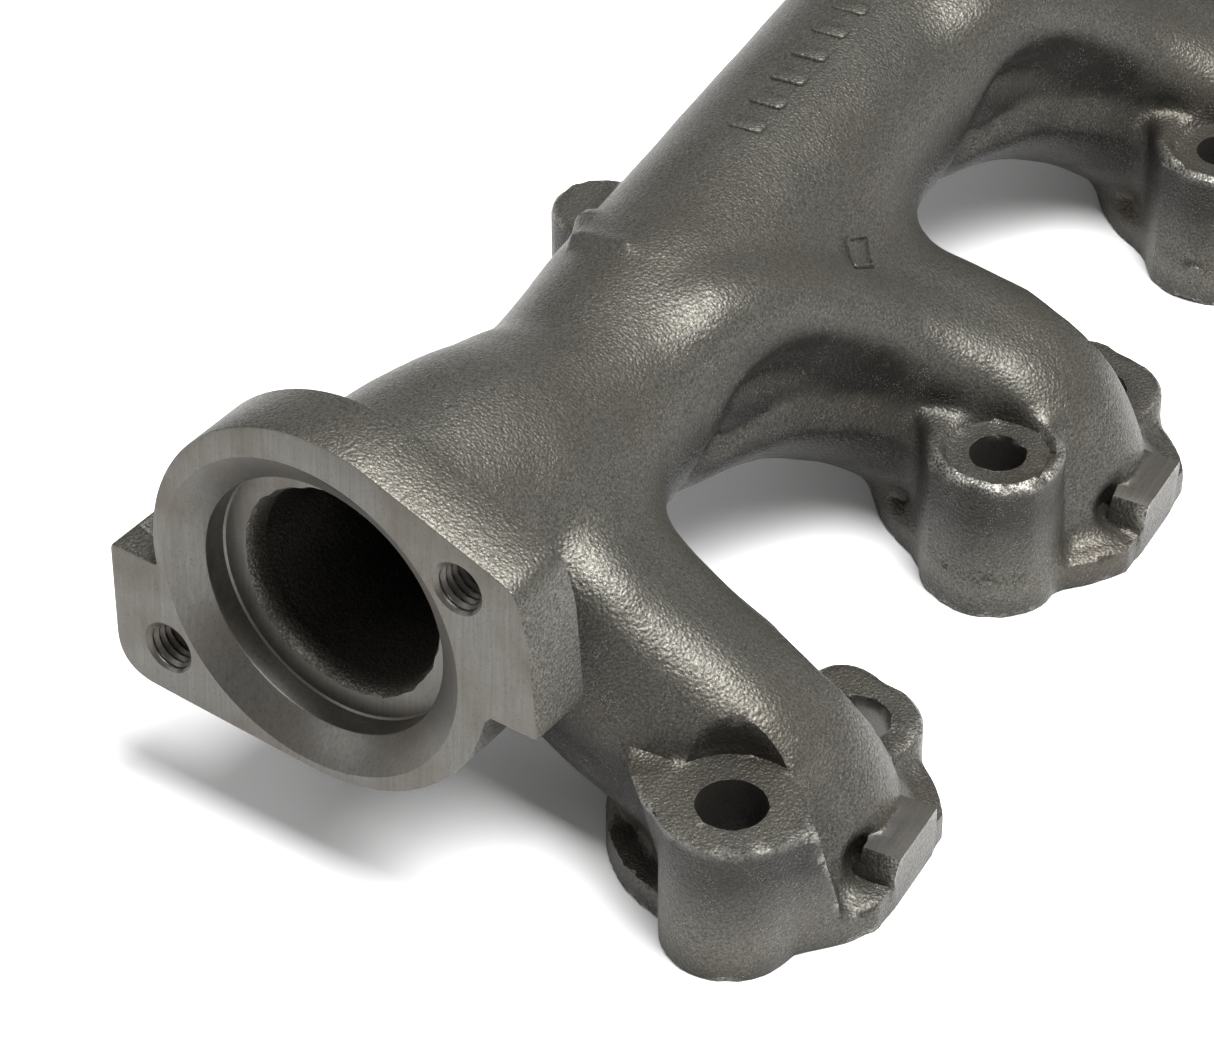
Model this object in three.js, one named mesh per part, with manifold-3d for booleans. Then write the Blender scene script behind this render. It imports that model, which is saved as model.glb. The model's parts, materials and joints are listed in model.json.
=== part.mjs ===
// Cast-iron exhaust manifold, four ports into one log, millimetres.
// +X runs along the port line, +Y from the ports towards the log, +Z away from the cylinder head.
// One casting, divided into its named zones by a fine kerf.
import * as THREE from "three";
import { mergeVertices } from "three/addons/utils/BufferGeometryUtils.js";
import Module from "manifold-3d";

const wasm = await Module();
wasm.setup();

// Port line
const PORT_COUNT = 4;
const PORT_PITCH = 111.25;
const BOLT_PITCH = 50.8;
const PORT_OFFSET_Y = 4;
const PORT_WALL = 3.5;

// Clearances and walls
const KERF = 0.3;
const LOG_WALL = 5.5;
const RUNNER_WALL = 6;
const OVERCUT = 2;

// Port flange
const PLATE_THICK = 5;
const PLATE_WALL = 13;
const LUG_STAND = 6;
const COLLAR_HEIGHT = 14;
const COLLAR_FLARE = 1;

// Bolt bosses, ears and lugs
const END_HOLE = 6.4;
const MIDDLE_HOLE = 5.3;
const BOSS_WALL = 6.1;
const BOSS_HEIGHT = 30;
const BOSS_RELIEF = 0.2;
const EAR_WALL = 5.9;
const EAR_HEIGHT = 10;
const EAR_RELIEF = 1.1;
const EAR_LOBE = 6.8;
const LOBE_ACROSS = 7.5;
const LOBE_UP = 5.8;
const LUG_WIDTH = 17.6;
const LUG_DEPTH = 6.5;
const LUG_HEIGHT = 12.6;

// Log
const LOG_RADIUS = 23;
const LOG_Y = 60;
const LOG_Z = 52;
const LOG_START_X = 44;
const LOG_INSET = 9;
const SPLIT_SHARE = 0.45;
const INNER_BORE = 13;

// Raised casting marks on the log
const MARK_COUNT = 6;
const MARK_PITCH = 9;
const MARK_WIDTH = 5;
const MARK_LENGTH = 7;
const MARK_RAISE = 0.8;
const MARK_ROOT = 1;

// Outlet
const OUTLET_X = -17.7;
const OUTLET_Y = 72.3;
const OUTLET_Z = 56.5;
const OUTLET_YAW = 7.5;
const OUTLET_DIP = 1.5;
const FLANGE_THICK = 14;
const RING_LAND = 5;
const RING_U = 2;
const RING_V = 2.5;
const RING_TANGENT = 75;
const EAR_EDGE = -3.5;
const UPPER_TIP = 16.5;
const LOWER_TIP = 12.3;
const NECK_WALL = 7;
const NECK_TAPER = 1;
const NECK_FAIR = 8;
const THROAT_LEAD = 16;
const SEAT_RADIUS = 31;
const SEAT_DEPTH = 4;
const COUNTERBORE_STEP = 5.5;
const COUNTERBORE_DEPTH = 9;
const OUTLET_BORE = 20;
const STUD_RADIUS = 38.1;
const STUD_ANGLE = 34;
const STUD_HOLE = 4.2;

// Ear corners: offsets from the stud hole, out along the face and away from its middle
const UPPER_EAR = [
  [13.5, -6],
  [12.5, 3.5],
  [4, 6.5],
];
const LOWER_EAR = [
  [-4, 10.8],
  [11.3, 10.3],
  [12.3, -5],
];

// Neck and throat outlines: share of the log's radius, share of the neck's length
const NECK_OUTLINE = [
  [0, 0.953],
  [0.55, 0.93],
  [0.8, 0.87],
  [0.98, 0.717],
  [1.087, 0.504],
];
const THROAT_OUTLINE = [
  [0, 0.835],
  [0.8, 0.8],
  [1, 0.693],
];

// Boss web corners: shares of the boss radius
const BOSS_WEB = [
  [-0.72, 0.7],
  [-0.6, -0.8],
  [0, -1.25],
  [1.04, -0.4],
  [1.1, 0.96],
  [0.22, 1.64],
];

// Back boss
const BACK_BOSS_RADIUS = 9.2;
const BACK_BOSS_HEIGHT = 17;
const BACK_BOSS_INSET = 0.8;
const BACK_BOSS_RISE = 8;

// Runner centre lines: across from the port, share of the way to the log, share of the log height
const FIRST_RUNNER = [
  [0, 0, 0],
  [0, 0.02, 0.17],
  [0, 0.11, 0.33],
  [0, 0.27, 0.44],
  [0, 0.46, 0.56],
  [1.6, 0.68, 0.71],
  [3.6, 0.96, 0.96],
];
const SWEPT_RUNNER = [
  [0, 0, 0],
  [0, 0.02, 0.17],
  [0, 0.11, 0.32],
  [-2, 0.27, 0.41],
  [-6.4, 0.45, 0.51],
  [-15.4, 0.63, 0.64],
  [-29.4, 0.79, 0.8],
  [-51.4, 0.955, 0.97],
];
const INNER_RUNNER = [
  [0, 0.14, 0.35],
  [0, 0.375, 0.42],
  [-0.4, 0.64, 0.55],
  [-3.4, 0.91, 0.885],
];

// Facets
const FINE = 28;
const ROUND = 22;
const SMALL = 14;
const STEPS = 10;

// Sizes that follow from those above
const PORT_BORE = BOLT_PITCH / 2 - END_HOLE - PORT_WALL;
const BOSS_RADIUS = END_HOLE + BOSS_WALL;
const EAR_RADIUS = END_HOLE + EAR_WALL;
const RUNNER_RADIUS = PORT_BORE + RUNNER_WALL;
const PLATE_FLAT = RUNNER_RADIUS + LUG_STAND;
const RING_RADIUS = SEAT_RADIUS + RING_LAND;
const NECK_RADIUS = OUTLET_BORE + NECK_WALL;
const COUNTERBORE = OUTLET_BORE + COUNTERBORE_STEP;
const LOG_BORE = LOG_RADIUS - LOG_WALL;
const PORT_X = BOLT_PITCH / 2;
const PORT_LINE = PORT_PITCH * (PORT_COUNT - 1);
const SPLIT_Y = LOG_Y - LOG_RADIUS;
const LOG_END_X = PORT_LINE + PORT_X - LOG_INSET;
const REACH = PORT_LINE + BOLT_PITCH * 3;

function solid(geometry) {
  const bare = geometry.clone();
  bare.deleteAttribute("normal");
  bare.deleteAttribute("uv");
  const welded = mergeVertices(bare, 1e-4);
  const vertProperties = Float32Array.from(welded.attributes.position.array);
  const triVerts = Uint32Array.from(welded.index.array);
  return new wasm.Manifold(new wasm.Mesh({ numProp: 3, vertProperties, triVerts }));
}

function join(parts) {
  return parts.reduce((sum, part) => sum.add(part));
}

function cut(body, tools) {
  return tools.reduce((rest, tool) => rest.subtract(tool), body);
}

function box(x0, x1, y0, y1, z0, z1) {
  const geometry = new THREE.BoxGeometry(x1 - x0, y1 - y0, z1 - z0);
  geometry.translate((x0 + x1) / 2, (y0 + y1) / 2, (z0 + z1) / 2);
  return solid(geometry);
}

function post(x, y, radius, z0, z1, facets = ROUND, top = radius) {
  const geometry = new THREE.CylinderGeometry(top, radius, z1 - z0, facets);
  geometry.rotateX(Math.PI / 2);
  geometry.translate(x, y, (z0 + z1) / 2);
  return solid(geometry);
}

function ball(x, y, z, radius) {
  const geometry = new THREE.SphereGeometry(radius, FINE, FINE / 2);
  geometry.rotateZ(Math.PI / 2);
  geometry.translate(x, y, z);
  return solid(geometry);
}

function bar(x0, x1, radius) {
  const geometry = new THREE.CylinderGeometry(radius, radius, x1 - x0, FINE);
  geometry.rotateZ(Math.PI / 2);
  geometry.translate((x0 + x1) / 2, LOG_Y, LOG_Z);
  return solid(geometry);
}

function circle(radius) {
  const shape = new THREE.Shape();
  shape.absarc(0, 0, radius, 0, Math.PI * 2, false);
  return shape;
}

function tube(points, radius) {
  const extrudePath = new THREE.CatmullRomCurve3(points);
  const options = { steps: STEPS, curveSegments: ROUND / 2, extrudePath };
  return solid(new THREE.ExtrudeGeometry(circle(radius), options));
}

function prism(shape, z0, z1, matrix) {
  const options = { depth: z1 - z0, bevelEnabled: false, curveSegments: SMALL };
  const geometry = new THREE.ExtrudeGeometry(shape, options);
  geometry.translate(0, 0, z0);
  if (matrix) {
    geometry.applyMatrix4(matrix);
  }
  return solid(geometry);
}

function turned(profile, matrix) {
  const points = profile.map(([radius, along]) => new THREE.Vector2(radius, along));
  const geometry = new THREE.LatheGeometry(points, FINE);
  geometry.rotateX(Math.PI / 2);
  geometry.applyMatrix4(matrix);
  return solid(geometry);
}

// Outlet frame: u to the right and v up on the face, w out of it
const outletOut = new THREE.Vector3(-1, 0, 0);
outletOut.applyAxisAngle(new THREE.Vector3(0, 1, 0), THREE.MathUtils.degToRad(OUTLET_DIP));
outletOut.applyAxisAngle(new THREE.Vector3(0, 0, 1), THREE.MathUtils.degToRad(-OUTLET_YAW));
const outletU = new THREE.Vector3(0, 0, 1).cross(outletOut).normalize();
const outletV = new THREE.Vector3().crossVectors(outletOut, outletU);
const outletFrame = new THREE.Matrix4().makeBasis(outletU, outletV, outletOut);
outletFrame.setPosition(OUTLET_X, OUTLET_Y, OUTLET_Z);

const studU = STUD_RADIUS * Math.cos(THREE.MathUtils.degToRad(STUD_ANGLE));
const studV = STUD_RADIUS * Math.sin(THREE.MathUtils.degToRad(STUD_ANGLE));

function upperEar() {
  const shape = new THREE.Shape();
  shape.moveTo(0, EAR_EDGE);
  shape.lineTo(studU + UPPER_TIP, EAR_EDGE);
  const [side, turn, end] = UPPER_EAR.map(([out, up]) => [studU + out, studV + up]);
  shape.lineTo(...side);
  shape.quadraticCurveTo(...turn, ...end);
  const tangent = THREE.MathUtils.degToRad(RING_TANGENT);
  shape.lineTo(RING_U + RING_RADIUS * Math.cos(tangent), RING_V + RING_RADIUS * Math.sin(tangent));
  shape.lineTo(0, 0);
  return shape;
}

function lowerEar() {
  const shape = new THREE.Shape();
  shape.moveTo(0, EAR_EDGE);
  shape.lineTo(RING_U, RING_V - RING_RADIUS);
  const [start, turn, side] = LOWER_EAR.map(([out, down]) => [-studU - out, -studV - down]);
  shape.lineTo(...start);
  shape.quadraticCurveTo(...turn, ...side);
  shape.lineTo(-studU - LOWER_TIP, EAR_EDGE);
  return shape;
}

function onFace(u, v) {
  return outletFrame.clone().multiply(new THREE.Matrix4().makeTranslation(u, v, 0));
}

function outletFlange(throat) {
  const blank = join([
    prism(circle(RING_RADIUS), -FLANGE_THICK, 0, onFace(RING_U, RING_V)),
    prism(upperEar(), -FLANGE_THICK, 0, outletFrame),
    prism(lowerEar(), -FLANGE_THICK, 0, outletFrame),
  ]);
  const upperHole = prism(circle(STUD_HOLE), -FLANGE_THICK - OVERCUT, OVERCUT, onFace(studU, studV));
  const lowerHole = prism(circle(STUD_HOLE), -FLANGE_THICK - OVERCUT, OVERCUT, onFace(-studU, -studV));
  return cut(blank, [throat, upperHole, lowerHole]);
}

function runnerPath(rows, portX) {
  const span = LOG_Y - PORT_OFFSET_Y;
  return rows.map(([across, along, up]) => {
    return new THREE.Vector3(portX + across, PORT_OFFSET_Y + span * along, LOG_Z * up);
  });
}

function runnerBody(port, portX, grow) {
  const radius = RUNNER_RADIUS + grow;
  const collar = post(portX, PORT_OFFSET_Y, radius + COLLAR_FLARE, 0, COLLAR_HEIGHT, ROUND, radius);
  if (port === 0) {
    return join([collar, tube(runnerPath(FIRST_RUNNER, portX), radius)]);
  }
  const inner = tube(runnerPath(INNER_RUNNER, portX), INNER_BORE + LOG_WALL + grow);
  return join([collar, tube(runnerPath(SWEPT_RUNNER, portX), radius), inner]);
}

function runnerPassage(port, portX) {
  const mouth = post(portX, PORT_OFFSET_Y, PORT_BORE, -OVERCUT, COLLAR_HEIGHT / 2);
  if (port === 0) {
    return join([mouth, tube(runnerPath(FIRST_RUNNER, portX), PORT_BORE)]);
  }
  const inner = tube(runnerPath(INNER_RUNNER, portX), INNER_BORE);
  return join([mouth, tube(runnerPath(SWEPT_RUNNER, portX), PORT_BORE), inner]);
}

function bossWeb(height) {
  const corners = BOSS_WEB.map(([x, y]) => new THREE.Vector2(x * BOSS_RADIUS, y * BOSS_RADIUS));
  return prism(new THREE.Shape(corners), PLATE_THICK + KERF, height);
}

function portParts(port) {
  const firstX = port * PORT_PITCH;
  const portX = firstX + PORT_X;
  const earX = firstX + BOLT_PITCH;
  const isEnd = port === 0 || port === PORT_COUNT - 1;
  const hole = isEnd ? END_HOLE : MIDDLE_HOLE;
  const lobeX = earX + LOBE_ACROSS;
  const passage = runnerPassage(port, portX);
  const body = runnerBody(port, portX, 0);
  const grown = runnerBody(port, portX, KERF);
  const bossHole = post(firstX, 0, hole, -OVERCUT, REACH, SMALL);
  const earHole = post(earX, 0, hole, -OVERCUT, REACH, SMALL);
  const holes = [bossHole, earHole];
  const front = PORT_OFFSET_Y - PLATE_FLAT;
  const flat = box(firstX - REACH, firstX + REACH, front, REACH, 0, PLATE_THICK);

  const plateDisc = post(portX, PORT_OFFSET_Y, PORT_BORE + PLATE_WALL, 0, PLATE_THICK, FINE);
  const plateRound = plateDisc.intersect(flat);
  const plateBlank = join([
    plateRound,
    post(firstX, 0, BOSS_RADIUS, 0, PLATE_THICK),
    post(earX, 0, EAR_RADIUS, 0, PLATE_THICK),
    post(lobeX, LOBE_UP, EAR_LOBE, 0, PLATE_THICK, SMALL),
  ]);
  const plate = cut(plateBlank, [passage, ...holes]);

  const bossPost = post(firstX, 0, BOSS_RADIUS, PLATE_THICK + KERF, BOSS_HEIGHT);
  const web = bossWeb(BOSS_HEIGHT).translate([firstX, 0, 0]).subtract(grown);
  const boss = cut(join([bossPost, web]), [passage, ...holes]);

  const earBlank = join([
    post(earX, 0, EAR_RADIUS, PLATE_THICK + KERF, EAR_HEIGHT),
    post(lobeX, LOBE_UP, EAR_LOBE, PLATE_THICK + KERF, EAR_HEIGHT, SMALL),
  ]);
  const ear = cut(earBlank, [passage, ...holes]);

  const lugX = portX - LUG_WIDTH / 2;
  const lugBase = PLATE_THICK + KERF;
  const lugBox = box(lugX, lugX + LUG_WIDTH, front, front + LUG_DEPTH, lugBase, LUG_HEIGHT);
  const lug = lugBox.subtract(grown);

  const splitY = SPLIT_Y - KERF / 2;
  const below = box(firstX - REACH, firstX + REACH, -REACH, splitY, PLATE_THICK + KERF, REACH);
  const runner = cut(body.intersect(below), [
    passage,
    ...holes,
    post(firstX, 0, BOSS_RADIUS + KERF, 0, BOSS_HEIGHT + KERF),
    post(firstX, 0, BOSS_RADIUS + BOSS_RELIEF, BOSS_HEIGHT, REACH),
    post(earX, 0, EAR_RADIUS + KERF, 0, EAR_HEIGHT + KERF),
    post(lobeX, LOBE_UP, EAR_LOBE + KERF, 0, EAR_HEIGHT + KERF, SMALL),
    post(earX, 0, END_HOLE + EAR_RELIEF, EAR_HEIGHT, REACH, SMALL),
  ]);
  return { plate, boss, ear, lug, runner, body, passage };
}

// Outlet throat: seat, counterbore and the bore tapering down to the log
const neckLength = LOG_START_X - OUTLET_X + LOG_RADIUS;
const throat = turned(
  [
    ...THROAT_OUTLINE.map(([across, along]) => [LOG_BORE * across, -neckLength * along]),
    [OUTLET_BORE, -COUNTERBORE_DEPTH - THROAT_LEAD],
    [OUTLET_BORE, -COUNTERBORE_DEPTH],
    [COUNTERBORE, -COUNTERBORE_DEPTH],
    [COUNTERBORE, -SEAT_DEPTH],
    [SEAT_RADIUS, 0],
    [SEAT_RADIUS, OVERCUT],
    [0, OVERCUT],
  ],
  outletFrame,
);
const neck = turned(
  [
    ...NECK_OUTLINE.map(([across, along]) => [LOG_RADIUS * across, -neckLength * along]),
    [NECK_RADIUS - NECK_TAPER, -FLANGE_THICK - NECK_FAIR],
    [NECK_RADIUS, -FLANGE_THICK / 2],
    [0, -FLANGE_THICK / 2],
  ],
  outletFrame,
);
const logBore = join([
  bar(LOG_START_X, LOG_END_X, LOG_BORE),
  ball(LOG_START_X, LOG_Y, LOG_Z, LOG_BORE),
  ball(LOG_END_X, LOG_Y, LOG_Z, LOG_BORE),
]);
const logBody = join([
  bar(LOG_START_X, LOG_END_X, LOG_RADIUS),
  ball(LOG_START_X, LOG_Y, LOG_Z, LOG_RADIUS),
  ball(LOG_END_X, LOG_Y, LOG_Z, LOG_RADIUS),
]);

const ports = [];
for (let port = 0; port < PORT_COUNT; port += 1) {
  ports.push(portParts(port));
}

const marks = [];
for (let index = 0; index < MARK_COUNT; index += 1) {
  const x = PORT_PITCH + PORT_X / 2 + index * MARK_PITCH;
  const markY = LOG_Y - MARK_LENGTH / 2;
  const markBottom = LOG_Z + LOG_BORE + MARK_ROOT;
  const markTop = LOG_Z + LOG_RADIUS + MARK_RAISE;
  marks.push(box(x, x + MARK_WIDTH, markY, markY + MARK_LENGTH, markBottom, markTop));
}

const beyond = box(-REACH, REACH * 2, SPLIT_Y + KERF / 2, REACH, -REACH, REACH);
const bulk = join([neck, logBody, ...ports.map((port) => port.body), ...marks]).intersect(beyond);
const hollow = [throat, logBore, ...ports.map((port) => port.passage)];
const behindFlange = prism(circle(REACH), -REACH, -FLANGE_THICK - KERF, outletFrame);
const collector = cut(bulk, hollow);

const splits = [LOG_START_X + LOG_RADIUS / 2];
for (let port = 1; port < PORT_COUNT - 1; port += 1) {
  splits.push(PORT_X + PORT_PITCH * (port + SPLIT_SHARE));
}

function between(x0, x1) {
  return collector.intersect(box(x0 + KERF / 2, x1 - KERF / 2, -REACH, REACH, -REACH, REACH));
}

const backX = PORT_PITCH - BOSS_RADIUS / 5;
const backY = LOG_Y + LOG_RADIUS - BACK_BOSS_INSET;
const backTop = LOG_Z + BACK_BOSS_RISE;
const backBoss = post(backX, backY, BACK_BOSS_RADIUS, backTop - BACK_BOSS_HEIGHT, backTop);
const logGrown = bar(LOG_START_X, LOG_END_X, LOG_RADIUS + KERF);

const manifold = new THREE.Group();
manifold.name = "exhaust_manifold";

function addPiece(name, body, color, roughness) {
  const mesh = body.getMesh();
  const geometry = new THREE.BufferGeometry();
  geometry.setAttribute("position", new THREE.BufferAttribute(Float32Array.from(mesh.vertProperties), 3));
  geometry.setIndex(new THREE.BufferAttribute(Uint32Array.from(mesh.triVerts), 1));
  geometry.computeVertexNormals();
  const material = new THREE.MeshStandardMaterial({ color, roughness, metalness: 0.6 });
  const piece = new THREE.Mesh(geometry, material);
  piece.name = name;
  manifold.add(piece);
}

const CAST = 0x5f5c58;
const MACHINED = 0x85827e;

addPiece("outlet_flange", outletFlange(throat), MACHINED, 0.45);
addPiece("outlet_neck", between(-REACH, splits[0]).intersect(behindFlange), CAST, 0.8);
splits.forEach((start, index) => {
  const end = index + 1 < splits.length ? splits[index + 1] : REACH * 2;
  addPiece(`log_section_${index + 1}`, between(start, end), CAST, 0.8);
});
ports.forEach((port, index) => {
  addPiece(`runner_${index + 1}`, port.runner, CAST, 0.8);
  addPiece(`port_flange_${index + 1}`, port.plate, CAST, 0.7);
  addPiece(`bolt_boss_${index + 1}`, port.boss, CAST, 0.7);
  addPiece(`bolt_ear_${index + 1}`, port.ear, CAST, 0.7);
  addPiece(`locating_lug_${index + 1}`, port.lug, MACHINED, 0.6);
});
addPiece("back_boss", backBoss.subtract(logGrown), CAST, 0.8);

const bounds = new THREE.Box3().setFromObject(manifold);
const middle = bounds.getCenter(new THREE.Vector3());
manifold.children.forEach((piece) => piece.geometry.translate(-middle.x, -middle.y, -bounds.min.z));

export default manifold;
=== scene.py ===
import json
import math

import bmesh
import bpy
import numpy as np
from bpy.props import FloatProperty, FloatVectorProperty, IntProperty, PointerProperty
from mathutils import Matrix, Vector


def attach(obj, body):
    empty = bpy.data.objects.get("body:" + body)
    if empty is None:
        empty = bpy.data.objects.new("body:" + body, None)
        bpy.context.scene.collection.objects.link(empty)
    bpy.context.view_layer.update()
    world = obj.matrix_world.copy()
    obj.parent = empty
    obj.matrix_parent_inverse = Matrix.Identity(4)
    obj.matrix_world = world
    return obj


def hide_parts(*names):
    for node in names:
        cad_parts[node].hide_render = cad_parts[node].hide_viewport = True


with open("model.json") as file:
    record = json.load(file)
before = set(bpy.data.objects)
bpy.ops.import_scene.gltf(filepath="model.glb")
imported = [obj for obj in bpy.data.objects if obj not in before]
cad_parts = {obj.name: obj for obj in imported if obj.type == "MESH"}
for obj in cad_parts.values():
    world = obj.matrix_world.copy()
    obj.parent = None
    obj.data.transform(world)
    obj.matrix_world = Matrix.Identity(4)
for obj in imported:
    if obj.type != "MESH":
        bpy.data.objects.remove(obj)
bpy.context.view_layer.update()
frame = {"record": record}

bl_info = {
    "name": "Exhaust Manifold",
    "version": (1, 0, 0),
    "blender": (4, 5, 0),
    "location": "View3D > Sidebar > Manifold",
    "description": "Builds a cast-iron exhaust manifold with four ports, a round log and a two-ear outlet",
    "category": "Add Mesh",
}

MM = 0.001
PORTS = 4
LOG_NODES = ["log_section_1", "log_section_2", "log_section_3"]
PORT_NODES = ["runner", "port_flange", "bolt_boss", "bolt_ear", "locating_lug"]


def opening_centre(name):
    """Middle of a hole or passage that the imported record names, in metres."""
    for opening in frame["record"]["physics"]["openings"]:
        if opening["name"] == name:
            low, high = opening["box_m"]
            return (Vector(low) + Vector(high)) / 2
    raise RuntimeError(f"the record has no opening named {name}")


FIRST_BOLT = opening_centre("boss_bolt_hole_1")
EAR_BOLT = opening_centre("ear_bolt_hole_1")
BOLT_PITCH = EAR_BOLT.x - FIRST_BOLT.x
PORT_PITCH = opening_centre("port_mouth_2").x - opening_centre("port_mouth_1").x
ORIGIN = np.array([FIRST_BOLT.x, FIRST_BOLT.y, 0.0])


def length(name, size, description):
    """A length property, in metres, from a size in millimetres."""
    return FloatProperty(name=name, default=size * MM, min=0.0, unit="LENGTH", precision=4,
                         description=description)


def colour(name, value, description):
    """A linear colour property."""
    return FloatVectorProperty(name=name, default=value, size=3, min=0.0, max=1.0, subtype="COLOR",
                               description=description)


def angle(name, degrees, description):
    """An angle property from a value in degrees."""
    return FloatProperty(name=name, default=math.radians(degrees), subtype="ANGLE", description=description)


class ManifoldCasting(bpy.types.PropertyGroup):
    log_radius: length("Log radius", 23.0, "Outside radius of the round log")
    log_bore: length("Log bore", 17.5, "Radius of the gas passage along the log")
    log_y: length("Log centre Y", 60.0, "Log centre line, measured from the bolt line")
    log_z: length("Log centre Z", 52.0, "Log centre line above the port faces")
    port_bore: length("Port bore", 15.5, "Radius of the port opening and of the runner passage")
    inner_bore: length("Inner bore", 13.0, "Radius of the straight passage behind each swept runner")
    port_y: length("Port centre Y", 4.0, "Port centre, measured from the bolt line")
    pad_radius: length("Pad radius", 30.0, "Radius of the flat pad round each port")
    pad_flat: length("Pad flat", 26.8, "Distance from the port centre to the pad's straight front edge")
    pad_height: length("Pad height", 6.0, "Thickness of the pad")
    boss_radius: length("Boss radius", 12.5, "Radius of the tall bolt boss")
    boss_height: length("Boss height", 30.0, "Height of the tall bolt boss above the port face")
    ear_radius: length("Ear radius", 12.3, "Radius of the low bolt ear")
    ear_height: length("Ear height", 10.0, "Height of the low bolt ear above the port face")
    lobe_radius: length("Ear lobe radius", 6.8, "Radius of the small lobe beside the bolt ear")
    end_hole: length("End bolt hole radius", 6.4, "Radius of the bolt holes of the two end ports")
    middle_hole: length("Middle bolt hole radius", 5.3, "Radius of the bolt holes of the middle ports")
    end_relief: length("End relief radius", 13.0, "Cutter radius of the clearance above an end boss")
    seat_radius: length("Bolt seat radius", 9.8, "Cutter radius of the round bolt seat on a middle boss")
    lug_width: length("Lug width", 17.6, "Width of the locating lug on each pad")
    lug_depth: length("Lug depth", 6.6, "Depth of the locating lug")
    lug_height: length("Lug height", 12.6, "Height of the locating lug above the port face")
    cell: length("Mesh cell", 1.7, "Side of the cells the casting's mesh is drawn with")


class ManifoldOutlet(bpy.types.PropertyGroup):
    x: FloatProperty(name="Face X", default=-17.7 * MM, unit="LENGTH", precision=4,
                     description="Centre of the outlet face along the bolt line, from the first bolt hole")
    y: length("Face Y", 72.3, "Centre of the outlet face across, from the bolt line")
    z: length("Face Z", 56.5, "Centre of the outlet face above the port faces")
    yaw: angle("Yaw", 7.5, "Turn of the outlet face about the vertical")
    dip: angle("Dip", 1.5, "Upward tilt of the outlet face")
    thickness: length("Flange thickness", 14.0, "Thickness of the outlet flange")
    ring_radius: length("Ring radius", 36.0, "Outside radius of the flange between its ears")
    seat_radius: length("Seat radius", 31.4, "Radius of the conical seat at the face")
    seat_depth: length("Seat depth", 4.0, "Depth of the conical seat")
    counterbore: length("Counterbore radius", 25.5, "Radius of the step behind the seat")
    counterbore_depth: length("Counterbore depth", 9.2, "Depth of the step behind the seat")
    bore: length("Outlet bore", 20.2, "Radius of the rough cast bore")
    stud_circle: length("Stud circle radius", 38.1, "Distance of each stud hole from the outlet's centre")
    stud_angle: angle("Stud angle", 34.0, "Turn of the stud holes about the outlet's axis")
    thread_minor: length("Thread minor radius", 3.95, "Radius at the crests of the stud hole's thread")
    thread_depth: length("Thread depth", 0.72, "Depth of the thread in the stud holes")
    thread_pitch: length("Thread pitch", 1.59, "Pitch of the thread in the stud holes")


class ManifoldMarks(bpy.types.PropertyGroup):
    count: IntProperty(name="Bars", default=6, min=0, max=12, description="Number of raised bars on the log")
    pitch: length("Bar pitch", 9.0, "Distance from one raised bar to the next")
    width: length("Bar width", 4.2, "Width of each raised bar along the log")
    reach: length("Bar length", 7.0, "Length of each raised bar across the log")
    rise: length("Rise", 0.8, "Height of the marks above the casting")
    lozenge: length("Lozenge size", 6.5, "Half the length of the raised lozenge on the shoulder")


class ManifoldFinish(bpy.types.PropertyGroup):
    iron_dark: colour("Cast iron dark", (0.026, 0.0245, 0.0205), "Darkest tone of the sand-cast skin")
    iron_light: colour("Cast iron light", (0.124, 0.119, 0.102), "Lightest tone of the sand-cast skin")
    # Painted shade: the dark colour that surfaces facing down or sideways are painted towards.
    iron_underside_shade: colour("Painted underside shade", (0.011, 0.01, 0.0085), "Painted shade on surfaces facing down or sideways")
    iron_brown: colour("Cast iron brown", (0.062, 0.048, 0.034), "Brown bloom in the hollows of the skin")
    # Also the colour of the painted glints on the sand grain.
    wear_and_glint: colour("Worn edge", (0.4, 0.39, 0.36), "Bright iron on knocked edges")
    cut_dark: colour("Machined dark", (0.082, 0.079, 0.071), "Dark tone of the cut faces")
    cut_light: colour("Machined light", (0.145, 0.14, 0.129), "Light tone of the cut faces")
    sand_size: length("Sand grain", 0.5, "Size of the sand grain that the mould leaves on the skin")


class ManifoldStage(bpy.types.PropertyGroup):
    floor_size: FloatProperty(name="Floor size", default=6.0, min=1.0, unit="LENGTH",
                              description="Side of the pale floor")
    floor_tone: colour("Floor colour", (0.93, 0.93, 0.93), "Colour of the pale floor")
    sky: FloatProperty(name="Sky strength", default=0.36, min=0.0,
                       description="Strength of the even studio light")
    key: FloatProperty(name="Key power", default=38.0, min=0.0, unit="POWER",
                       description="Power of the main soft box")
    rim: FloatProperty(name="Rim power", default=4.0, min=0.0, unit="POWER",
                       description="Power of the far soft box")
    azimuth: angle("Camera azimuth", -62.43, "Turn of the camera round the manifold")
    elevation: angle("Camera elevation", 38.87, "Height angle of the camera")
    roll: angle("Camera roll", -0.08, "Turn of the camera about its own axis")
    distance: FloatProperty(name="Camera distance", default=0.9747, min=0.1, unit="LENGTH",
                            description="Distance from the camera to the point it looks at")
    lens: FloatProperty(name="Lens", default=150.36, min=20.0, unit="CAMERA",
                        description="Focal length of the camera")


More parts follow.
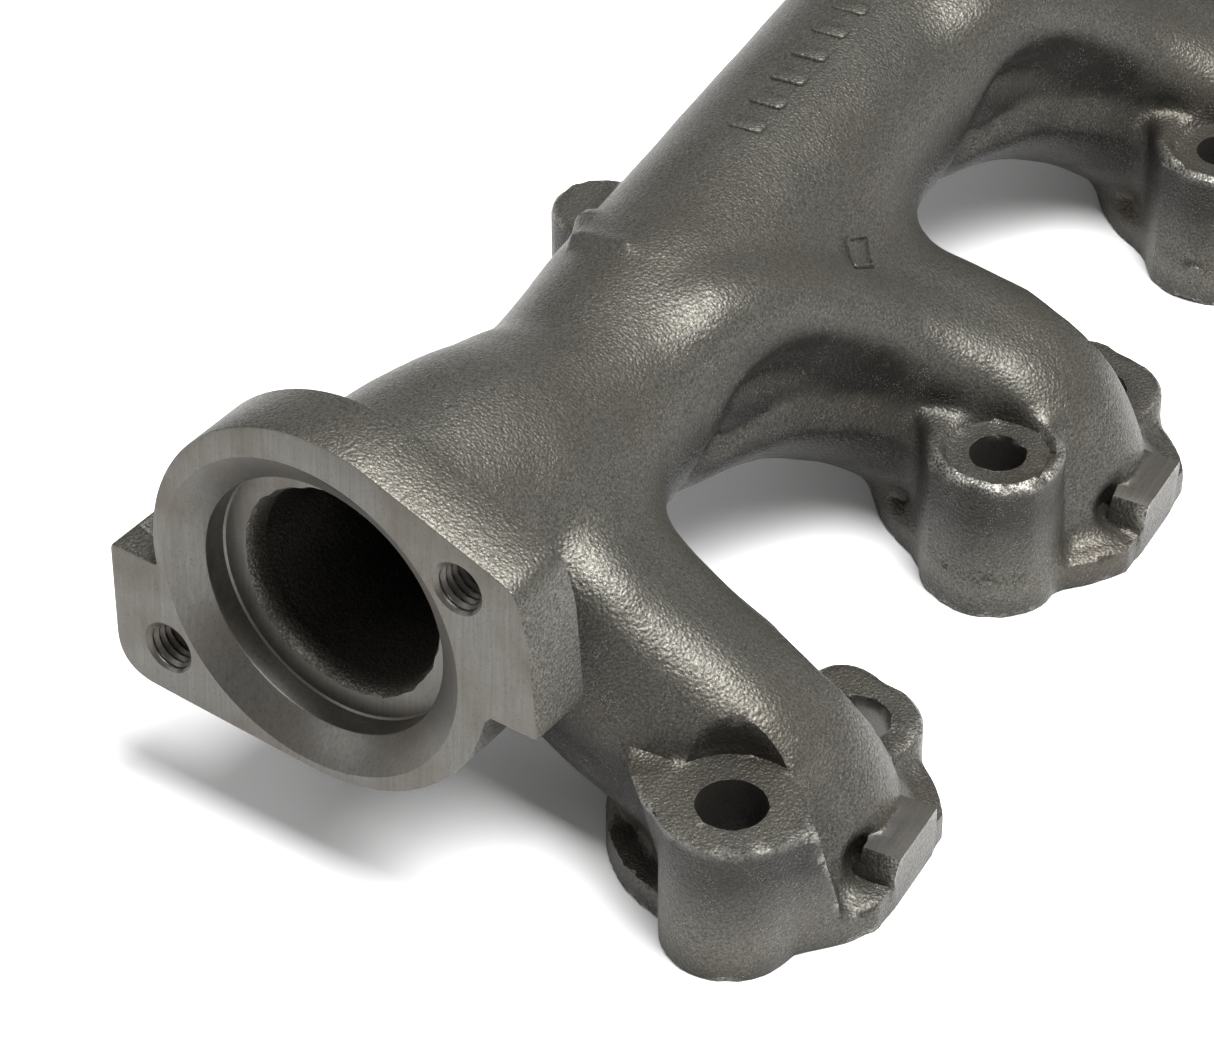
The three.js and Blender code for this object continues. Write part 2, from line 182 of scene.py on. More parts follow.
# Centre lines of the log and runners, in millimetres: X from the port's bolt hole, Y from the bolt line,
# Z from the port face, and the radius there.
LOG_LINE = [
    (-2, 70.2, 56, 27.5), (8, 69, 55.8, 26.5), (25, 66.5, 55, 25.5), (40, 63.5, 53.5, 23.5),
    (56, 60.5, 52, 22.3), (80, 60, 52, 22.8), (111, 60, 52, 23), (330, 60, 52, 23), (350, 60, 51, 22),
]
FIRST_RUNNER = [
    (25.4, 3, 0, 24), (25.4, 5, 9, 22.5), (25.2, 10, 17, 21.5), (25, 19, 23, 21),
    (25.5, 30, 29, 21), (27, 42, 37, 21), (29, 56, 47, 21.5),
]
SWEPT_RUNNER = [
    (25.4, 3, 0, 24), (25.4, 5, 9, 22.5), (25.2, 10, 16.5, 21.5), (23.5, 19, 21.5, 21),
    (19, 29, 26.5, 21), (10, 39, 33, 21.5), (-4, 48, 41, 22), (-24, 56, 48, 22),
]
# The raised shoulder along the top of each runner, given the same way.
FIRST_SHOULDER = [
    (20, 44, 53, 7), (18.5, 37, 49.5, 9.3), (18, 28.5, 43, 9.6), (18.2, 18.5, 37, 9.6),
    (17.4, 8, 31, 9.3), (16.8, 1.5, 26.5, 8),
]
SWEPT_SHOULDER = [
    (-41, 49, 62, 7.5), (-31, 45.5, 64, 8.6), (-21.6, 42, 61.5, 8.8), (-11.8, 38.5, 57, 8.8),
    (-3.7, 34, 51.5, 8.8), (8.3, 26, 41.5, 8.8), (14.2, 15, 34.5, 8.6), (16.6, 5, 29, 8), (17.2, -1.5, 24, 7),
]
INNER_RUNNER = [(25.4, 12, 18, 19), (25.5, 25, 21.5, 19), (25, 40, 28.5, 18), (22, 56, 44, 18)]
RUNNER_BLEND = 10.0
SHOULDER_BLEND = 5.0
# The cove under the shoulder of a swept runner, which ends behind the bolt boss.
COVE = [
    (-45, 36, 37, 6), (-37, 34.5, 43.5, 8), (-30, 32, 47.5, 9), (-22, 28, 48.5, 9.5),
    (-12, 24, 46.5, 10), (-4, 19.5, 42.5, 8.5), (3, 14, 38.5, 6.5), (8, 7, 35, 5),
]
COVE_BLEND = 5.0
LOWER_COVE = (0, -2, -6)
LOWER_COVE_INSET = 1.5
COVE_WALL = 3.2
EAR_CLEARANCE = 2.5
# Outlines of the webs that join each bolt boss to its pad, seen from above.
END_WEB = [(-11.5, 6), (-7.5, -10), (0.2, -16), (14, -4), (16, 8), (5.7, 25), (-6.2, 14.5)]
WEB_FLARE = (8.0, -3.2)
MIDDLE_WEB = [(-9, 8.7), (-6, -9), (6, -9.5), (13, -5), (13.7, 12), (2.8, 18)]
# Places on the log: the plain lozenge, the back boss and the forked ridge in front of it.
LOZENGE_AT = (120.2, 34.2, 57.5)
LOZENGE_FACING = (0.1, -0.66, 0.75)
FORK = (81, 62, 73.4, 2.2)
FORK_ENDS = [(93.5, 75.6, 66.6, 3.6), (84, 72.4, 69.6, 3.2)]
BACK_BOSS = (108.8, 82.2)
BACK_BOSS_RADIUS = 9.2
BACK_BOSS_BASE = 42
BACK_BOSS_TOP = 60
# Blends and roundings of the casting, in millimetres.
PAD_BLEND = 5
PAD_ROUND = 1.5
BOSS_ROUND = 0.9
MIDDLE_BOSS_ROUND = 2.2
BELOW = -3
ABOVE = 90
FLANGE_BLEND = 3.5
WALL = 5.5


def metres(points):
    """Millimetres from the first bolt hole to metres in the manifold's own frame."""
    return np.asarray(points) * MM + ORIGIN


def smooth_line(rows, steps=6):
    """A smooth line through rows of x, y, z and radius."""
    rows = np.array(rows, float)
    ends = np.vstack([2 * rows[0] - rows[1], rows, 2 * rows[-1] - rows[-2]])
    line = []
    for a, b, c, d in zip(ends, ends[1:], ends[2:], ends[3:]):
        for t in np.linspace(0, 1, steps, endpoint=False):
            bend = (2 * a - 5 * b + 4 * c - d) * t * t + (-a + 3 * b - 3 * c + d) * t ** 3
            line.append(0.5 * (2 * b + (c - a) * t + bend))
    line.append(rows[-1])
    return np.array(line)


def union(a, b, blend):
    """Joins two distance fields with a fillet of about the given size."""
    h = np.clip(0.5 + 0.5 * (b - a) / blend, 0, 1)
    return b * (1 - h) + a * h - blend * h * (1 - h)


def cut(a, b, blend=0.01):
    """Takes field b out of field a, rounding the edge by about the given size."""
    return -union(-a, b, blend)


def sweep(points, line):
    """Distance to a tube along a line of x, y, z and radius."""
    nearest = np.full(len(points), 1e9, np.float32)
    for a, b in zip(line[:-1], line[1:]):
        along = b[:3] - a[:3]
        offset = points - a[:3]
        t = np.clip(offset @ along / (along @ along), 0, 1)
        gap = offset - t[:, None] * along
        reach = np.sqrt(np.einsum("ij,ij->i", gap, gap)) - (a[3] + t * (b[3] - a[3]))
        np.minimum(nearest, reach, out=nearest)
    return nearest


def polygon(u, v, corners):
    """Signed distance to a closed outline in its own plane."""
    corners = np.array(corners, float)
    nearest = np.full(u.shape, 1e9)
    side = np.ones(u.shape)
    for a, b in zip(corners, np.roll(corners, 1, axis=0)):
        edge = b - a
        du = u - a[0]
        dv = v - a[1]
        t = np.clip((du * edge[0] + dv * edge[1]) / (edge @ edge), 0, 1)
        nearest = np.minimum(nearest, (du - edge[0] * t) ** 2 + (dv - edge[1] * t) ** 2)
        above = v >= a[1]
        below = v < b[1]
        left = edge[0] * dv > edge[1] * du
        side = np.where((above & below & left) | (~above & ~below & ~left), -side, side)
    return side * np.sqrt(nearest)


def slab(flat, height, low, high):
    """Distance to a plane shape given some height."""
    upright = np.maximum(low - height, height - high)
    return np.minimum(np.maximum(flat, upright), 0) + np.hypot(np.maximum(flat, 0), np.maximum(upright, 0))


def round_slab(flat, height, low, high, rounding):
    """The same with its edges rounded."""
    return slab(flat + rounding, height, low + rounding, high - rounding) - rounding


def outlet_axes(outlet):
    """Centre, right, up and inward directions of the outlet face, in millimetres."""
    turn = Matrix.Rotation(-outlet.yaw, 3, "Z") @ Matrix.Rotation(outlet.dip, 3, "Y")
    out = turn @ Vector((-1, 0, 0))
    right = Vector((0, 0, 1)).cross(out).normalized()
    up = out.cross(right)
    centre = np.array([outlet.x, outlet.y, outlet.z]) / MM
    return centre, np.array(right), np.array(up), -np.array(out)


def arc(centre, radius, start, end, count):
    """Points round part of a circle, with the angles in degrees."""
    turns = np.radians(np.linspace(start, end, count))
    return [(centre[0] + radius * math.cos(t), centre[1] + radius * math.sin(t)) for t in turns]


def rounded(before, corner, after, radius, count=8):
    """Points that round off a corner between two neighbours."""
    corner = Vector(corner)
    to_before = (Vector(before) - corner).normalized()
    to_after = (Vector(after) - corner).normalized()
    half = to_before.angle(to_after) / 2
    back = radius / math.tan(half)
    start = corner + to_before * back
    end = corner + to_after * back
    points = []
    for t in np.linspace(0, 1, count):
        middle = start.lerp(corner, t).lerp(corner.lerp(end, t), t)
        points.append(tuple(middle))
    return points


def flange_outline(outlet):
    """Outline of the outlet flange, right and up on its face, in millimetres, anticlockwise."""
    radius = outlet.ring_radius / MM
    stud = Vector((math.cos(outlet.stud_angle), math.sin(outlet.stud_angle))) * (outlet.stud_circle / MM)
    ring = (2.0, 2.5)
    edge = -3.5
    ring_right = (ring[0] + math.sqrt(radius ** 2 - (edge - ring[1]) ** 2), edge)
    ring_left = (ring[0] - math.sqrt(radius ** 2 - (edge - ring[1]) ** 2), edge)
    top = arc(ring, radius, 75, 180 + 9.6, 36)
    bottom = arc(ring, radius, 270, 360 - 11.5, 24)
    upper = [(stud.x + 16.6, edge), (stud.x + 14.6, stud.y - 5), (stud.x + 11.6, stud.y + 4.6)]
    lower = [(-stud.x - 12.3, edge), (-stud.x - 12.3, -stud.y + 3), (-stud.x - 11.6, -stud.y - 9.6)]
    points = []
    points += rounded(ring_right, upper[0], upper[1], 0.8, 4)
    points += rounded(upper[0], upper[1], upper[2], 6, 5)
    points += rounded(upper[1], upper[2], top[0], 6.5, 10)
    points += top
    points += [(ring_left[0] - 0.6, edge - 0.2)]
    points += rounded(ring_left, lower[0], lower[1], 1.2, 5)
    points += rounded(lower[0], lower[2], bottom[0], 9, 12)
    points += bottom
    points += [(ring_right[0] + 0.9, edge + 0.1)]
    return points


def cast_waviness(x, y, z):
    """Slow unevenness of a sand-cast skin, in millimetres."""
    waves = np.sin(x / 7.3 + 1.3 * np.sin(y / 9.1)) * np.sin(y / 6.1 + 0.7) * np.cos(z / 8.3 + 0.4)
    ripples = np.sin(x / 2.9 + 2.1) * np.cos(y / 3.3 + z / 4.1) * np.sin(z / 2.7)
    return 0.16 * waves + 0.07 * ripples


class Iron:
    """The casting as a distance field in millimetres, negative inside the iron."""

    def __init__(self, casting, outlet):
        self.size = {name: getattr(casting, name) / MM for name in casting.__annotations__}
        self.outlet = outlet
        self.axes = outlet_axes(outlet)
        self.outline = np.array(flange_outline(outlet)) * 0.985
        self.log = smooth_line(LOG_LINE)
        self.first = smooth_line(FIRST_RUNNER)
        self.swept = smooth_line(SWEPT_RUNNER)
        self.inner = smooth_line(INNER_RUNNER)
        self.first_shoulder = smooth_line(FIRST_SHOULDER, 4)
        self.swept_shoulder = smooth_line(SWEPT_SHOULDER, 3)
        self.cove = smooth_line(COVE, 3)
        self.first_bore = smooth_line(FIRST_RUNNER, 3)
        self.first_bore[:, 3] = self.size["port_bore"]
        self.swept_bore = smooth_line(SWEPT_RUNNER, 3)
        self.swept_bore[:, 3] = self.size["port_bore"]
        self.pitch = PORT_PITCH / MM
        self.bolts = BOLT_PITCH / MM

    def is_end(self, port):
        return port in (0, PORTS - 1)

    def hole(self, port):
        return self.size["end_hole"] if self.is_end(port) else self.size["middle_hole"]

    def near(self, points, port):
        """Points within reach of one port."""
        start = port * self.pitch
        return (points[:, 0] > start - 85) & (points[:, 0] < start + 95)

    def runner(self, local, port, wall, distance):
        if port == 0:
            distance = union(distance, sweep(local, self.first), RUNNER_BLEND - 1)
            return union(distance, sweep(local, self.first_shoulder), SHOULDER_BLEND)
        distance = union(distance, sweep(local, self.swept), RUNNER_BLEND)
        distance = union(distance, sweep(local, self.inner), RUNNER_BLEND + 2)
        lower = sweep(local - np.array(LOWER_COVE), self.cove) + LOWER_COVE_INSET
        cove = np.minimum(sweep(local, self.cove), lower)
        distance = cut(distance, np.maximum(cove, wall), COVE_BLEND)
        return union(distance, sweep(local, self.swept_shoulder), SHOULDER_BLEND)

    def pad(self, x, y, z, distance):
        size = self.size
        middle = self.bolts / 2 + 0.6
        flat = np.maximum(np.hypot(x - middle, y - size["port_y"]) - size["pad_radius"],
                          size["port_y"] - size["pad_flat"] - y)
        return union(distance, round_slab(flat, z, BELOW, size["pad_height"], PAD_ROUND), PAD_BLEND)

    def boss(self, x, y, z, port, distance):
        size = self.size
        ring = np.hypot(x, y) - size["boss_radius"]
        if self.is_end(port):
            drop = 1 - z / size["boss_height"]
            web = polygon(x - WEB_FLARE[0] * drop, y - WEB_FLARE[1] * drop, END_WEB)
            post = round_slab(union(ring, web * 0.95, 1.5), z, BELOW, size["boss_height"], BOSS_ROUND)
            return union(distance, post, 1.8)
        web = polygon(x, y, MIDDLE_WEB)
        post = round_slab(union(ring, web, 4), z, BELOW, size["boss_height"] + 0.6, MIDDLE_BOSS_ROUND)
        skirt = round_slab(ring - 0.7, z, BELOW, 9, 0.4)
        return union(union(distance, post, 3), skirt, 0.6)

    def ear(self, x, y, z, wall, distance):
        size = self.size
        ring = np.hypot(x - self.bolts, y) - size["ear_radius"]
        clear = slab(ring - EAR_CLEARANCE, z, size["ear_height"], ABOVE)
        distance = cut(distance, np.maximum(clear, wall), 2)
        lobe = np.hypot(x - self.bolts - 7.5, y - 5.8) - size["lobe_radius"]
        post = round_slab(union(ring, lobe, 2), z, BELOW, size["ear_height"], 1.2)
        return union(distance, post, 3)

    def lug(self, x, y, z, distance):
        size = self.size
        lean = 0.1 * z
        front = size["port_y"] - size["pad_flat"] - lean
        middle = self.bolts / 2 + 0.4
        hollow = np.hypot(np.hypot(x - middle + 8, y - front - size["lug_depth"] + 1), z - 10.5) - 4.2
        distance = cut(distance, hollow, 3)
        taper = np.maximum(z - size["lug_height"] + 3.5, 0) * 0.3
        wide = np.abs(x - middle) - size["lug_width"] / 2 + taper
        deep = np.maximum(front - y, y - front - size["lug_depth"] - lean + taper * 0.5)
        return union(distance, round_slab(np.maximum(wide, deep), z, BELOW, size["lug_height"], 0.6), 0.8)

    def skin(self, points):
        """Outside of the casting before anything is cut."""
        x, y, z = points.T
        distance = sweep(points, self.log)
        for port in range(PORTS):
            near = self.near(points, port)
            if not near.any():
                continue
            local = points[near] - np.array([port * self.pitch, 0, 0])
            px, py, pz = local.T
            wall = COVE_WALL - sweep(local, self.swept_bore if port else self.first_bore)
            log_bore = np.hypot(py - self.size["log_y"], pz - self.size["log_z"]) - self.size["log_bore"]
            wall = np.maximum(wall, COVE_WALL - log_bore)
            part = self.runner(local, port, wall, distance[near])
            part = self.pad(px, py, pz, part)
            part = self.boss(px, py, pz, port, part)
            part = self.ear(px, py, pz, wall, part)
            distance[near] = self.lug(px, py, pz, part)
        distance = self.back_boss(x, y, z, distance)
        return self.flange_root(points, distance) + cast_waviness(x, y, z)

    def back_boss(self, x, y, z, distance):
        ring = np.hypot(x - BACK_BOSS[0], y - BACK_BOSS[1]) - BACK_BOSS_RADIUS
        distance = union(distance, round_slab(ring, z, BACK_BOSS_BASE, BACK_BOSS_TOP, 1.5), 2)
        points = np.stack([x, y, z], axis=1)
        for end in FORK_ENDS:
            distance = union(distance, sweep(points, np.array([FORK, end])), 1.2)
        return distance

    def on_outlet(self, points):
        centre, right, up, inward = self.axes
        offset = points - centre
        return offset @ right, offset @ up, offset @ inward

    def flange_root(self, points, distance):
        """Fillet behind the outlet flange, hidden inside the flange itself."""
        near = points[:, 0] < 60
        u, v, w = self.on_outlet(points[near])
        thickness = self.outlet.thickness / MM
        root = slab(polygon(u, v, self.outline), w, 6, thickness - 0.5)
        part = union(distance[near], root, FLANGE_BLEND)
        distance[near] = np.maximum(part, 6 - w)
        return distance

    def passages(self, points):
        """Distance to the hollow that the gas flows through."""
        size = self.size
        x, y, z = points.T
        log = self.log.copy()
        log[:, 3] = np.minimum(log[:, 3] - WALL, size["log_bore"])
        log = log[log[:, 0] > 24]
        hollow = sweep(points, log)
        near = x < 60
        u, v, w = self.on_outlet(points[near])
        bore = slab(np.hypot(u, v) - self.outlet.bore / MM, w, -10, 44)
        hollow[near] = union(hollow[near], bore, 6)
        for port in range(PORTS):
            near = self.near(points, port)
            if not near.any():
                continue
            local = points[near] - np.array([port * self.pitch, 0, 0])
            part = hollow[near]
            lines = [(self.first, "port_bore")]
            if port:
                lines = [(self.swept, "port_bore"), (self.inner, "inner_bore")]
            for line, bore_name in lines:
                line = line.copy()
                line[:, 3] = size[bore_name]
                part = union(part, sweep(local, line), 4)
            px, py, pz = local.T
            mouth = slab(np.hypot(px - self.bolts / 2, py - size["port_y"]) - size["port_bore"], pz, -9, 8)
            hollow[near] = union(part, mouth, 2)
        ripple = np.sin(x / 3.1) * np.sin(y / 2.7 + 1) * np.sin(z / 3.4 + 2)
        return hollow + 0.2 * ripple

    def drilled(self, points, distance):
        """Bolt holes, seats and the port face, cut clean."""
        size = self.size
        for port in range(PORTS):
            near = self.near(points, port)
            if not near.any():
                continue
            x, y, z = (points[near] - np.array([port * self.pitch, 0, 0])).T
            boss = np.hypot(x, y)
            ear = np.hypot(x - self.bolts, y)
            seat = size["end_relief"] if self.is_end(port) else size["seat_radius"]
            floor = size["boss_height"] if self.is_end(port) else size["boss_height"] - 1
            part = distance[near]
            part = cut(part, slab(boss - seat, z, floor, ABOVE), 0.1 if self.is_end(port) else 2.0)
            part = np.maximum(part, self.hole(port) - boss)
            part = np.maximum(part, self.hole(port) - ear)
            distance[near] = part
        return np.maximum(distance, -points[:, 2])

    def distance(self, points):
        """Distance from each point to the finished casting."""
        points = np.asarray(points, float)
        body = cut(self.skin(points), self.passages(points), 0.5)
        near = points[:, 0] < 0
        u, v, w = self.on_outlet(points[near])
        room = self.outlet.thickness / MM - 2.5
        mouth = slab(np.hypot(u, v) - 27.5, w, -10, room)
        body[near] = np.maximum(body[near], -mouth)
        studs = Vector((math.cos(self.outlet.stud_angle), math.sin(self.outlet.stud_angle)))
        studs *= self.outlet.stud_circle / MM
        for sign in (1, -1):
            hole = slab(np.hypot(u - sign * studs.x, v - sign * studs.y) - 5.6, w, -10, 24)
            body[near] = np.maximum(body[near], -hole)
        return self.drilled(points, body)


def slopes(distance, points, step=0.25):
    """Unit normals of a field, from four samples round each point."""
    corners = np.array([(1, -1, -1), (-1, -1, 1), (-1, 1, -1), (1, 1, 1)], float)
    normals = np.zeros((len(points), 3))
    for corner in corners:
        normals += corner * distance(points + corner * step)[:, None]
    return normals / np.maximum(np.linalg.norm(normals, axis=1), 1e-9)[:, None]


def sample_grid(distance, low, high, cell, block=6):
    """Distances on a regular grid, worked out only near the surface."""
    count = (np.ceil((high - low) / (cell * block)).astype(int)) * block
    blocks = count // block
    middle = (np.indices(blocks).reshape(3, -1).T + 0.5) * block * cell + low
    rough = distance(middle)
    reach = block * cell * math.sqrt(3) / 2 + 2.5
    values = np.repeat(rough, block ** 3).astype(np.float32).reshape(-1, block, block, block)
    live = np.nonzero(np.abs(rough) < reach)[0]
    inner = np.indices((block,) * 3).reshape(3, -1).T
    start = np.array(np.unravel_index(live, blocks)).T * block
    points = (start[:, None, :] + inner[None, :, :]).reshape(-1, 3) * cell + low
    values[live] = distance(points).reshape(-1, block, block, block)
    grid = values.reshape(*blocks, block, block, block).transpose(0, 3, 1, 4, 2, 5)
    return grid.reshape(count)


def sharp_surface(distance, low, high, cell):
    """Vertices and quads of a closed surface that keeps the field's sharp edges."""
    grid = sample_grid(distance, low, high, cell)
    inside = grid < 0
    shape = np.array(grid.shape)
    stride = np.array([shape[1] * shape[2], shape[2], 1])
    total = int(shape.prod())
    sums = np.zeros((13, total))
    quads = []
    for axis in range(3):
        lower = [slice(None)] * 3
        upper = [slice(None)] * 3
        lower[axis] = slice(0, -1)
        upper[axis] = slice(1, None)
        here = np.argwhere(inside[tuple(lower)] != inside[tuple(upper)])
        step = np.eye(3, dtype=int)[axis]
        first = grid[tuple(here.T)]
        second = grid[tuple((here + step).T)]
        t = first / (first - second)
        points = low + cell * (here + t[:, None] * step)
        normals = slopes(distance, points)
        across = (axis + 1) % 3
        beyond = (axis + 2) % 3
        base = here @ stride
        around = [base, base - stride[across], base - stride[across] - stride[beyond], base - stride[beyond]]
        terms = [normals[:, i] * normals[:, j] for i in range(3) for j in range(i, 3)]
        pull = (normals * points).sum(1)
        terms += [normals[:, i] * pull for i in range(3)]
        terms += [points[:, i] for i in range(3)]
        terms.append(np.ones(len(points)))
        for corner in around:
            for row, term in enumerate(terms):
                sums[row] += np.bincount(corner, weights=term, minlength=total)
        ring = np.stack([around[2], around[3], around[0], around[1]], axis=1)
        flip = ~inside[tuple(here.T)]
        ring[flip] = ring[flip][:, ::-1]
        quads.append(ring)
    return place_vertices(sums, np.vstack(quads), low, cell, stride, shape)


def place_vertices(sums, quads, low, cell, stride, shape):
    """Puts one vertex in each cell where the crossing planes meet best."""
    used = np.nonzero(sums[12] > 0)[0]
    rows = sums[:, used]
    middle = (rows[9:12] / rows[12]).T
    matrix = np.empty((len(used), 3, 3))
    order = [(i, j) for i in range(3) for j in range(i, 3)]
    for row, (i, j) in enumerate(order):
        matrix[:, i, j] = rows[row]
        matrix[:, j, i] = rows[row]
    rest = rows[6:9].T - np.einsum("nij,nj->ni", matrix, middle)
    matrix += np.eye(3) * 0.06
    vertices = middle + np.linalg.solve(matrix, rest[:, :, None])[:, :, 0]
    corner = np.array(np.unravel_index(used, shape)).T * cell + low
    vertices = np.clip(vertices, corner + 0.02 * cell, corner + 0.98 * cell)
    lookup = np.full(int(shape.prod()), -1)
    lookup[used] = np.arange(len(used))
    return vertices, lookup[quads]


def mesh_object(name, vertices, faces, materials):
    """A mesh object from vertices in metres and faces."""
    mesh = bpy.data.meshes.new(name)
    mesh.from_pydata(vertices.tolist(), [], faces)
    for material in materials:
        mesh.materials.append(material)
    mesh.validate()
    mesh.update()
    piece = bpy.data.objects.new(name, mesh)
    bpy.context.scene.collection.objects.link(piece)
    return piece


def shade(piece, degrees):
    """Smooth shading with true corners kept crisp."""
    mesh = piece.data
    mesh.polygons.foreach_set("use_smooth", [True] * len(mesh.polygons))
    mesh.set_sharp_from_angle(angle=math.radians(degrees))


def store(piece, name, values):
    """Keeps one number for each vertex, for the finish to use."""
    layer = piece.data.attributes.new(name, "FLOAT", "POINT")
    layer.data.foreach_set("value", np.asarray(values, np.float32))


def neighbour_mean(values, edges, count):
    """Mean of each vertex with its neighbours."""
    total = np.bincount(edges[:, 0], weights=values[edges[:, 1]], minlength=count)
    total += np.bincount(edges[:, 1], weights=values[edges[:, 0]], minlength=count)
    number = np.bincount(edges.ravel(), minlength=count)
    return (values + total) / (number + 1)


# How far off the skin another surface or the floor still closes it in, near and far, in millimetres; the
# finish browns these hollows and paints shade into them.
OCCLUSION_REACH = (7.0, 20.0)


def store_wear_and_shade(piece, iron, vertices):
    """Measures knocked edges, hollows and surfaces facing down, so that the finish can brighten worn edges,
    brown the hollows and paint shade into the hollows and onto the undersides.
    """
    mesh = piece.data
    count = len(mesh.vertices)
    normals = np.empty(count * 3)
    mesh.vertices.foreach_get("normal", normals)
    normals = normals.reshape(-1, 3)
    edges = np.empty(len(mesh.edges) * 2, int)
    mesh.edges.foreach_get("vertices", edges)
    edges = edges.reshape(-1, 2)
    gap = vertices[edges[:, 1]] - vertices[edges[:, 0]]
    turn = ((normals[edges[:, 1]] - normals[edges[:, 0]]) * gap).sum(1)
    bend = turn / np.maximum((gap * gap).sum(1), 0.05)
    bent = np.bincount(edges[:, 0], weights=bend, minlength=count)
    bent += np.bincount(edges[:, 1], weights=bend, minlength=count)
    bent /= np.maximum(np.bincount(edges.ravel(), minlength=count), 1)
    bent = neighbour_mean(bent, edges, count)
    # Painted shade and patina: how closed in each vertex is by nearby iron and the floor.
    hollow = np.zeros(count)
    for reach in OCCLUSION_REACH:
        off = vertices + normals * reach
        clear = np.minimum(iron.distance(off), off[:, 2] + 4)
        hollow += 0.5 - 0.5 * np.clip(clear / reach, 0, 1)
    for _ in range(8):
        hollow = neighbour_mean(hollow, edges, count)
    store(piece, "edge", np.clip(0.5 + bent * 2.2, 0, 1))
    # Painted shade: marks surfaces facing down or sideways, from a little above the floor upwards, to be
    # painted darker.
    store(piece, "under", np.clip(0.65 - normals[:, 2], 0, 1) * np.clip(vertices[:, 2] / 20 - 0.1, 0, 1))
    store(piece, "hollow", hollow)


def cut_faces(iron, centres, normals):
    """Which faces of the casting are machined rather than cast."""
    size = iron.size
    machined = (centres[:, 2] < 0.15) & (normals[:, 2] < -0.8)
    for port in range(PORTS):
        x, y, z = (centres - np.array([port * iron.pitch, 0, 0])).T
        upright = np.abs(normals[:, 2]) < 0.5
        for centre in (0, iron.bolts):
            radius = np.hypot(x - centre, y)
            machined |= (np.abs(radius - iron.hole(port)) < 0.35) & upright
        front = size["port_y"] - size["pad_flat"]
        lug = (np.abs(x - iron.bolts / 2) < size["lug_width"] / 2) & (y < front + size["lug_depth"])
        machined |= lug & (np.abs(z - size["lug_height"]) < 0.4) & (normals[:, 2] > 0.9)
    return machined


def new_material(name):
    """An empty material with its shader and a way to add nodes."""
    material = bpy.data.materials.new(name)
    material.use_nodes = True
    tree = material.node_tree
    shader = tree.nodes["Principled BSDF"]
    return material, tree, shader


def add(tree, kind, inputs=None, **settings):
    """Adds a node, sets it and links its inputs."""
    node = tree.nodes.new(kind)
    for name, value in settings.items():
        setattr(node, name, value)
    for name, value in (inputs or {}).items():
        if isinstance(value, bpy.types.NodeSocket):
            tree.links.new(value, node.inputs[name])
        else:
            node.inputs[name].default_value = value
    return node


def place(tree, scale=(1, 1, 1)):
    """Coordinates fixed to the piece, stretched as asked."""
    where = add(tree, "ShaderNodeTexCoord").outputs["Object"]
    return add(tree, "ShaderNodeMapping", {"Vector": where, "Scale": scale}).outputs["Vector"]


def noise(tree, where, size, detail=3.0, roughness=0.55):
    """A noise whose lumps are about the given size, in metres."""
    inputs = {"Vector": where, "Scale": 1 / size, "Detail": detail, "Roughness": roughness}
    return add(tree, "ShaderNodeTexNoise", inputs).outputs["Fac"]


def ramp(tree, value, low, high, to_low=0.0, to_high=1.0):
    """Stretches a number from one range to another."""
    inputs = {"Value": value, "From Min": low, "From Max": high, "To Min": to_low, "To Max": to_high}
    return add(tree, "ShaderNodeMapRange", inputs).outputs["Result"]


def mix(tree, share_of, first, second):
    """A colour between two colours."""
    node = add(tree, "ShaderNodeMix", data_type="RGBA")
    for socket, value in ((node.inputs[0], share_of), (node.inputs[6], first), (node.inputs[7], second)):
        if isinstance(value, bpy.types.NodeSocket):
            tree.links.new(value, socket)
        elif isinstance(value, float):
            socket.default_value = value
        else:
            socket.default_value = (*value, 1)
    return node.outputs[2]


def mix_number(tree, first, second, share_of):
    """A number between two numbers."""
    node = add(tree, "ShaderNodeMix", data_type="FLOAT")
    node.inputs[0].default_value = share_of
    tree.links.new(first, node.inputs[2])
    tree.links.new(second, node.inputs[3])
    return node.outputs[0]


def times(tree, first, second):
    """Product of two numbers."""
    node = add(tree, "ShaderNodeMath", operation="MULTIPLY")
    for socket, value in zip(node.inputs, (first, second)):
        if isinstance(value, bpy.types.NodeSocket):
            tree.links.new(value, socket)
        else:
            socket.default_value = value
    return node.outputs[0]


def bump(tree, height, strength, distance, normal=None):
    """A bump of the given depth, in metres."""
    inputs = {"Height": height, "Strength": strength, "Distance": distance}
    if normal is not None:
        inputs["Normal"] = normal
    return add(tree, "ShaderNodeBump", inputs).outputs["Normal"]


